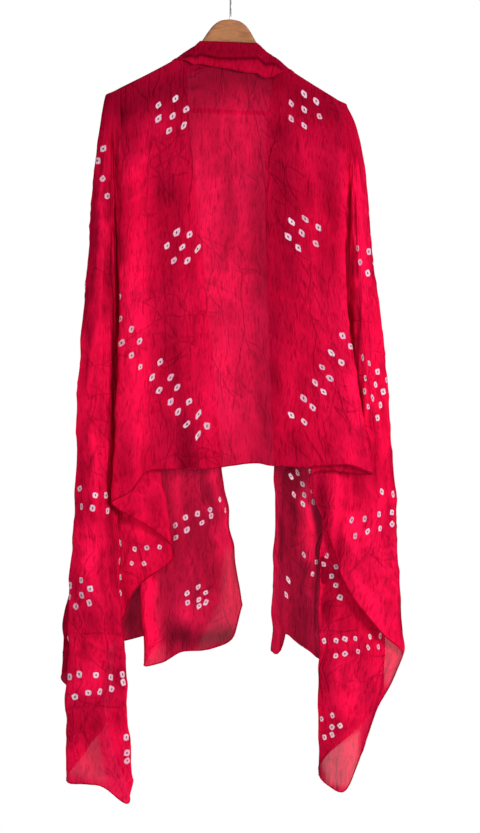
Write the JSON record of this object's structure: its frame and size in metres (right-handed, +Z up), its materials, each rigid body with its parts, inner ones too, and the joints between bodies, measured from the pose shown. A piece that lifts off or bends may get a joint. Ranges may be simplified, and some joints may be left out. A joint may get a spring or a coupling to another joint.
{
  "type": "bandhani cloth on a wooden hanger",
  "caption": "Crinkled, tie-dyed bandhani stole hung over a wooden clothes hanger like a shawl, with a turned-out collar, a near panel, pleated sides and two hanging tails.",
  "frame": {"origin": "the point where the top of the hook bears on its rail, straight above the hook's stem", "axes": "+Z up, X along the hanger with +X to the right of someone facing the near panel, which faces -Y"},
  "size_m": [0.6009, 0.0761, 1.4332],
  "materials": {
    "red_cotton": "crinkled, semi-sheer dyed cotton",
    "wood": "clear satin varnish",
    "steel": "plated wire"
  },
  "bodies": {
    "root": {"cloth": "red_cotton", "hanger": "wood", "trouser_bar": "wood", "hook": "steel"}
  },
  "joints": []
}
